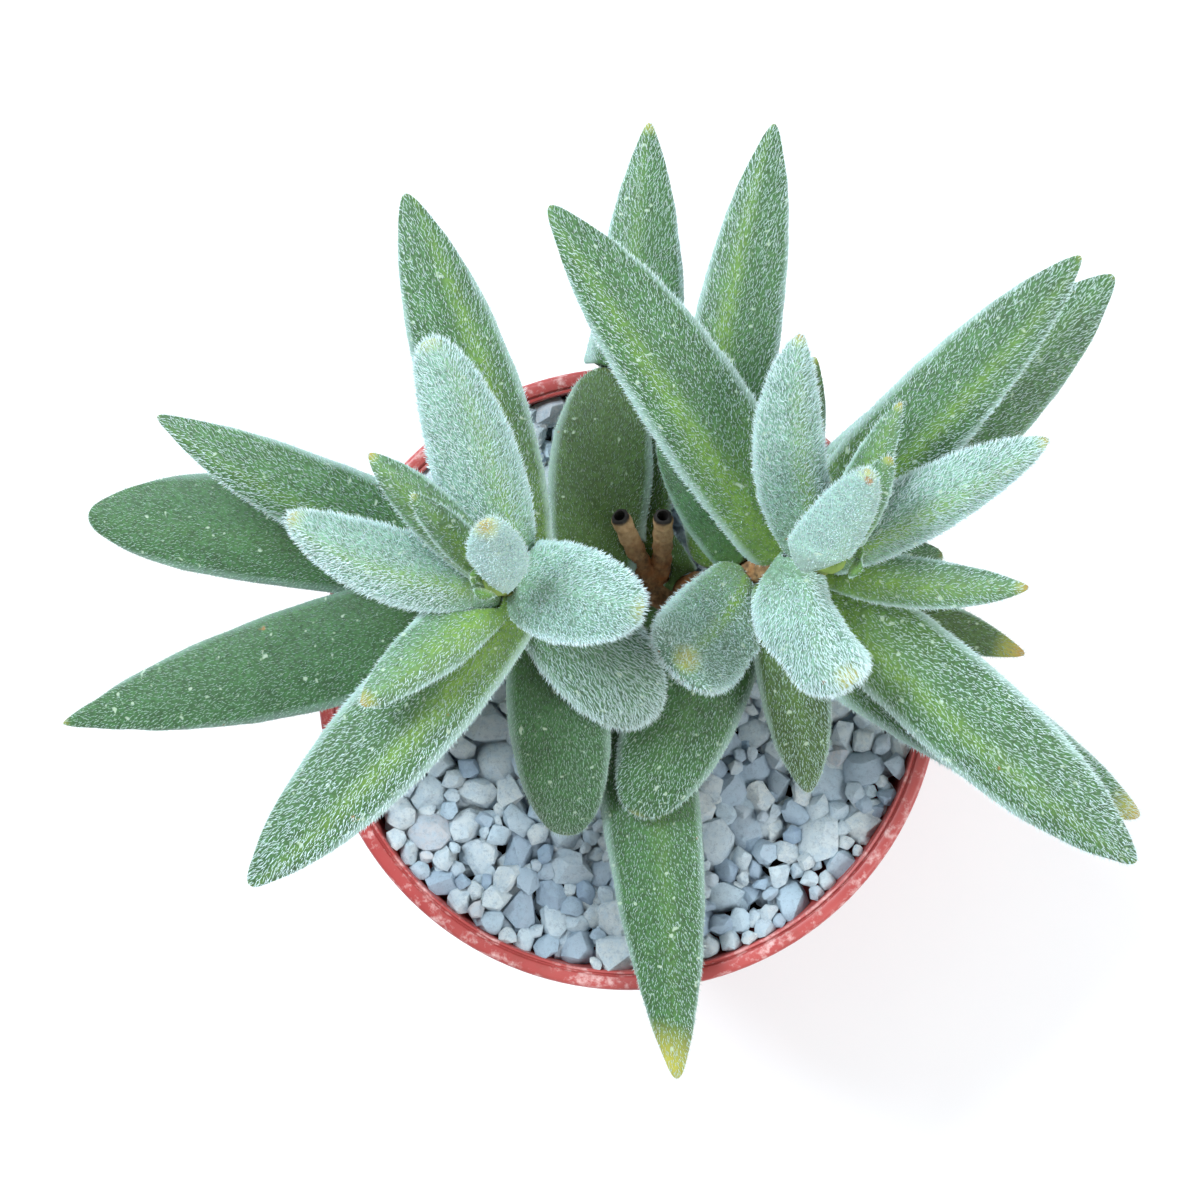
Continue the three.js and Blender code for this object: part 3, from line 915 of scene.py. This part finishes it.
def leafSkin():
    material, tree, shader = newMaterial("velvetLeafSkin", 0.62)
    place = objectPlace(tree)
    along = readFactor(tree, "leafAlong")
    edge = readFactor(tree, "leafEdge")
    pale, dark, olive = readVector(tree, "leafMix")
    keel, tip, brown = readVector(tree, "leafMarks")
    body = blend(tree, dark, leafPaint["green"], leafPaint["dark"])
    body = blend(tree, olive, body, leafPaint["olive"])
    body = blend(tree, pale, body, leafPaint["pale"])
    cloud = ramp(tree, noiseAt(tree, place, 240, 4), (0.3, 0.80), (0.7, 1.14))
    body = blend(tree, 1.0, body, cloud, "MULTIPLY")
    # a fine mottle that darkens the skin in flecks: painted shade in the gaps between the hairs
    fine = ramp(tree, noiseAt(tree, place, 1900, 3, 0.6), (0.34, 0.56), (0.62, 1.18))
    body = blend(tree, 1.0, body, fine, "MULTIPLY")
    foot = ramp(tree, along, (0.06, 0.7), (0.40, 0.0))
    # on dark and olive leaves the fresh foot is held back, leaving painted shade where their feet lie under
    # the others
    unlessDark = ramp(tree, dark, (0.12, 1.0), (0.35, 0.3))
    unlessPale = ramp(tree, pale, (0.4, 1.0), (0.9, 0.15))
    foot = times(tree, foot, times(tree, unlessDark, unlessPale))
    patchy = ramp(tree, noiseAt(tree, place, 1300, 3, 0.6), (0.36, 0.35), (0.60, 1.0))
    body = blend(tree, times(tree, foot, patchy), body, leafPaint["fresh"])
    body = blend(tree, times(tree, keel, patchy), body, leafPaint["fresh"])
    # the pale colour at the edges is painted sheen of the hairs at grazing angles, weaker on the dark leaves
    paintedEdgeSheen = ramp(tree, edge, (0.80, 0.0), (0.97, 0.7))
    duller = ramp(tree, dark, (0.2, 1.0), (0.7, 0.5))
    body = blend(tree, times(tree, paintedEdgeSheen, duller), body, leafPaint["paintedEdgeSheen"])
    mark = blend(tree, brown, leafPaint["yellow"], leafPaint["brown"])
    body = blend(tree, times(tree, tip, 0.9), body, mark)
    specks = ramp(tree, noiseAt(tree, place, 900, 1, 0.4), (0.70, 0.0), (0.76, 0.65))
    body = blend(tree, specks, body, leafPaint["speck"])
    rust = ramp(tree, noiseAt(tree, place, 330, 2, 0.5), (0.745, 0.0), (0.775, 0.75))
    tree.links.new(blend(tree, rust, body, leafPaint["brown"]), shader.inputs["Base Color"])
    shader.inputs["Subsurface Weight"].default_value = 0.12
    shader.inputs["Subsurface Radius"].default_value = (0.6, 1.0, 0.3)
    shader.inputs["Subsurface Scale"].default_value = 1.2 * mm
    shader.inputs["Sheen Weight"].default_value = 0.25
    shader.inputs["Sheen Roughness"].default_value = 0.5
    addBump(tree, shader, noiseAt(tree, place, 1400, 4, 0.6), 0.45, 0.3 * mm)
    return material


def leafHair():
    material, tree, shader = newMaterial("whiteLeafHair", 0.5)
    reach = readFactor(tree, "hairReach")
    strand = noiseAt(tree, objectPlace(tree), 600, 2)
    root = blend(tree, strand, leafPaint["hairRoot"], leafPaint["hairTip"])
    white = blend(tree, reach, root, leafPaint["hairTip"])
    frost = readFactor(tree, "hairFrost")
    tree.links.new(blend(tree, frost, leafPaint["hairDull"], white), shader.inputs["Base Color"])
    shader.inputs["Subsurface Weight"].default_value = 0.1
    shader.inputs["Subsurface Scale"].default_value = 0.3 * mm
    return material


def surfaceSamples(piece, count, dice):
    # places spread evenly over the surface: which triangle, and where in it
    mesh = piece.data
    mesh.calc_loop_triangles()
    corners = np.zeros(len(mesh.loop_triangles) * 3, dtype=np.int64)
    mesh.loop_triangles.foreach_get("vertices", corners)
    corners = corners.reshape(-1, 3)
    points = readPoints(piece)
    a, b, c = (points[corners[:, i]] for i in range(3))
    area = np.linalg.norm(np.cross(b - a, c - a), axis=1) / 2
    chosen = dice.choice(len(corners), count, p=area / area.sum())
    u = np.sqrt(dice.random(count))
    v = dice.random(count)
    weights = np.stack([1 - u, u * (1 - v), u * v], axis=1)
    return corners[chosen], weights, area.sum()


def readMidrib(piece, stemPoints, dice):
    # the leaf's midrib as a smooth curve from its foot to its tip, read off its own surface
    points = readPoints(piece)
    gaps = np.array([np.min(np.sum((stemPoints - p) ** 2, axis=1)) for p in points])
    foot = points[np.argsort(gaps)[:6]].mean(axis=0)
    tip = points[np.argmax(np.sum((points - foot) ** 2, axis=1))]
    axis = tip - foot
    span = axis @ axis
    corners, weights, _ = surfaceSamples(piece, leafShape["samples"], dice)
    samples = (points[corners] * weights[..., None]).sum(axis=1)
    share = np.clip((samples - foot) @ axis / span, 0, 1)
    fit = np.polyfit(share, samples, 3, w=0.3 + 0.7 * share)
    return foot, tip, axis / span, fit, samples, share


def frameAt(share, fit):
    # the midrib's place there, its direction, and the leaf's sideways and upward directions
    powers = np.stack([share ** 3, share ** 2, share, np.ones_like(share)], axis=1)
    slopes = np.stack([3 * share ** 2, 2 * share, np.ones_like(share)], axis=1)
    centre = powers @ fit
    tangent = unit(slopes @ fit[:3])
    side = unit(np.cross(np.array([0.0, 0.0, 1.0]), tangent))
    return centre, tangent, side, np.cross(tangent, side)


def makeHair(roots, normals, lean, length, lift, width, dice):
    # each hair is a three-sided taper that leans towards the leaf's tip
    count = len(roots)
    spread = dice.normal(0, hairShape["spread"], (count, 3))
    along = unit(normals * lift[:, None] + lean * hairShape["lean"] + spread)
    side = unit(np.cross(along, normals + 1e-6))
    other = np.cross(along, side)
    start = roots - normals * hairShape["rootDepth"] * mm
    rings = []
    for k in range(3):
        a = 2 * math.pi * k / 3
        rings.append(start + (side * math.cos(a) + other * math.sin(a)) * width / 2)
    points = np.stack(rings + [roots + along * length[:, None]], axis=1).reshape(-1, 3)
    pattern = [(0, 1, 3), (1, 2, 3), (2, 0, 3), (0, 2, 1)]
    faces = [tuple(i * 4 + k for k in face) for i in range(count) for face in pattern]
    reach = np.tile(np.array([0, 0, 0, 1.0]), count)
    return points, faces, reach


def coatWithHair(piece, kind, fit, foot, axis, hairMaterial, dice):
    spacing = kind["spacing"] * mm
    area = surfaceSamples(piece, 10, dice)[2]
    count = int(area / spacing ** 2 * hairShape["tries"])
    corners, weights, _ = surfaceSamples(piece, count, dice)
    points = readPoints(piece)
    normals = readPoints(piece, "normal")
    roots = (points[corners] * weights[..., None]).sum(axis=1)
    cells = np.floor(roots / spacing).astype(np.int64)
    _, first = np.unique(cells, axis=0, return_index=True)
    roots = roots[first]
    normal = unit((normals[corners[first]] * weights[first][..., None]).sum(axis=1))
    share = np.clip((roots - foot) @ axis, 0, 1)
    centre, tangent, side, _ = frameAt(share, fit)
    across = np.sum((roots - centre) * side, axis=1)
    sideways = np.abs(np.sum(normal * side, axis=1))
    fringe = np.clip((sideways - hairShape["fringeFrom"]) / 0.4, 0, 1)
    outward = side * np.sign(across)[:, None]
    lean = unit(tangent + outward * (hairShape["outwards"] + hairShape["fringeOutwards"] * fringe)[:, None])
    lift = kind["lift"] + 0.15 * dice.random(len(roots))
    length = kind["length"] * mm * (0.7 + 0.5 * dice.random(len(roots)))
    length = length * (1 + (hairShape["fringeLength"] - 1) * fringe)
    length = length * np.clip(0.45 + share * 2.2, 0, 1)
    hairPoints, faces, reach = makeHair(roots, normal, lean, length, lift, kind["width"] * mm, dice)
    hair = newPiece("hairCoat", hairPoints, faces)
    addAttribute(hair, "hairReach", reach)
    addAttribute(hair, "hairFrost", np.full(len(reach), kind["frost"]))
    hair.data.materials.append(hairMaterial)
    return hair


def measureWidths(samples, share, fit):
    # half the leaf's width at even stations along it
    centre, _, side, _ = frameAt(share, fit)
    reach = np.abs(np.sum((samples - centre) * side, axis=1))
    stations = np.linspace(0, 1, leafShape["stations"])
    near = leafShape["stationReach"]
    widths = [reach[np.abs(share - s) < near].max(initial=0.05 * mm) for s in stations]
    return stations, np.array(widths)


def divideLeaf(piece, foot, axis, fit, fuller):
    points = readPoints(piece)
    where = np.clip((points - foot) @ axis, 0, 1)
    middle = frameAt(where, fit)[0]
    writePoints(piece, middle + (points - middle) * leafShape["fullness"] * fuller)
    divide = piece.modifiers.new("fine", "SUBSURF")
    divide.levels = 3 if len(points) > leafShape["fineFrom"] else 2
    divide.render_levels = divide.levels
    applyModifiers(piece)


def swellFace(points, normals, where, across, above, kind, keelAcross, size, number):
    # a crown and a ridge on the upper side, a keel on the lower side, and slight lumps all over
    upper = np.clip(np.sum(normals * above, axis=1), -1, 1)
    fade = np.clip(where / leafShape["footFade"], 0, 1) * np.clip((1 - where) / leafShape["tipFade"], 0, 1)
    crown = kind["crown"] * np.clip(upper, 0, 1) * (1 - across ** 2)
    ridge = leafShape["crownRidge"] * np.exp(-((across - keelAcross) / leafShape["crownRidgeWidth"]) ** 2)
    crown = crown + ridge * crown
    keel = leafShape["keelHeight"] * np.clip(-upper, 0, 1)
    keel = keel * np.exp(-(across / leafShape["keelWidth"]) ** 2)
    shift = Vector((number * 0.37, 0, 0))
    lumps = np.array([noise.noise(Vector(p) / (leafShape["lumpSize"] * mm) + shift) for p in points])
    lumps = lumps * leafShape["lumps"]
    return points + normals * ((keel + crown) * fade * size + lumps * size)[:, None] * mm


def nudgeLeaf(points, nodeName, where, centre, kind):
    for place, push, felt in leafNudges.get(nodeName, []):
        away = np.linalg.norm(points[:, :2] - np.array(place) * mm, axis=1)
        points = points + np.outer(np.exp(-(away / (felt * mm)) ** 2), push) * mm
    if "closing" in kind:
        closed = np.sqrt(np.clip(where / kind["closing"] + 0.02, 0, 1))
        points = centre + (points - centre) * closed[:, None]
    reachBack = np.array(leafReach.get(nodeName, (0, 0, 0)))
    return points + np.outer((1 - where) ** 1.5, reachBack) * mm


def markLeaf(piece, nodeName, look, tip, where, across):
    # the keel line is brightest along the lower half; the mark lies at the tip, or beside it
    kindName, keelLine, keelAcross, tipMark, tipBrown, tipReach = look
    kind = leafKinds[kindName]
    points = readPoints(piece)
    line = np.exp(-((across - keelAcross) / kind["keelWidth"]) ** 2) * np.clip(1.3 - where, 0, 1) * keelLine
    tip = tip + np.array(markShift.get(nodeName, (0, 0, 0))) * mm
    heightCounts = 0.4 if nodeName in markShift else 1
    fromTip = np.linalg.norm((points - tip) * (1, 1, heightCounts), axis=1) / mm
    mark = tipMark * np.clip(1.35 - fromTip / tipReach, 0, 1)
    browning = tipBrown * np.clip(1.5 - fromTip / (0.6 * tipReach), 0, 1)
    addAttribute(piece, "leafAlong", where)
    # how near the edge a point lies, for the painted edge sheen, spread inwards on some leaves
    addAttribute(piece, "leafEdge", np.maximum(np.abs(across), kind.get("sheenSpread", 0)))
    addAttribute(piece, "leafMix", np.tile(np.array(kind["mix"]), (len(points), 1)))
    addAttribute(piece, "leafMarks", np.stack([line, mark, browning], axis=1))


def growLeaf(nodeName, look, stemPoints, skinMaterials, number):
    kind = leafKinds[look[0]]
    keelAcross = look[2]
    dice = np.random.default_rng(100 + number)
    piece = mergedCopy(nodeName, "hairy_" + nodeName)
    foot, tip, axis, fit, samples, share = readMidrib(piece, stemPoints, dice)
    stations, widths = measureWidths(samples, share, fit)
    fuller = leafFuller.get(nodeName, 1) * kind.get("fullness", 1)
    divideLeaf(piece, foot, axis, fit, fuller)

    points = readPoints(piece)
    normals = readPoints(piece, "normal")
    where = np.clip((points - foot) @ axis, 0, 1)
    centre, tangent, side, above = frameAt(where, fit)
    width = np.interp(where, stations, widths) * fuller
    across = np.clip(np.sum((points - centre) * side, axis=1) / width, -1, 1)
    size = min(1.0, widths.max() / (leafShape["fullSize"] * mm))
    points = swellFace(points, normals, where, across, above, kind, keelAcross, size, number)

    # a slender leaf is drawn out and pinched towards its tip
    tipFrom = leafShape["tipFrom"]
    nearTip = np.clip((where - tipFrom) / (1 - tipFrom), 0, 1) ** 2
    slender = np.clip(1.6 - 8 * widths.max() / np.linalg.norm(tip - foot), 0, 1)
    pull = leafShape["tipPull"] * slender * size * mm
    points = centre + (points - centre) * (1 - leafShape["tipPinch"] * slender * nearTip)[:, None]
    points = points + tangent * (pull * nearTip)[:, None]
    tip = tip + tangent[np.argmax(where)] * pull
    writePoints(piece, nudgeLeaf(points, nodeName, where, centre, kind))
    markLeaf(piece, nodeName, look, tip, where, across)
    skin, hairMaterial = skinMaterials
    piece.data.materials.append(skin)
    shadeSmooth(piece)

    hair = coatWithHair(piece, kind, fit, foot, axis, hairMaterial, dice)
    startClean()
    hair.select_set(True)
    piece.select_set(True)
    bpy.context.view_layer.objects.active = piece
    bpy.ops.object.join()
    finishPiece(piece, "bud_skin" if "bud" in nodeName else "leaf_skin", nodeName)
    return len(piece.data.polygons)


def growLeaves():
    skinMaterials = (leafSkin(), leafHair())
    stemPoints = readPoints(nodes["stem"])
    sides = {"left": stemPoints[:, 0] < 4 * mm, "right": stemPoints[:, 0] > 3 * mm}
    total = 0
    number = 0
    for shoot, onSide in sides.items():
        shootPoints = stemPoints[onSide]
        for index, look in enumerate(leafLooks[shoot], start=1):
            number += 1
            total += growLeaf(f"{shoot}_leaf_{index:02d}", look, shootPoints, skinMaterials, number)
        for index in (1, 2):
            number += 1
            total += growLeaf(f"{shoot}_bud_{index:02d}", budLook, shootPoints, skinMaterials, number)
        print(shoot, "shoot grown, faces so far", total)


setStudio()
makePot()
makeSoil()
makePumice()
makeStem()
growLeaves()
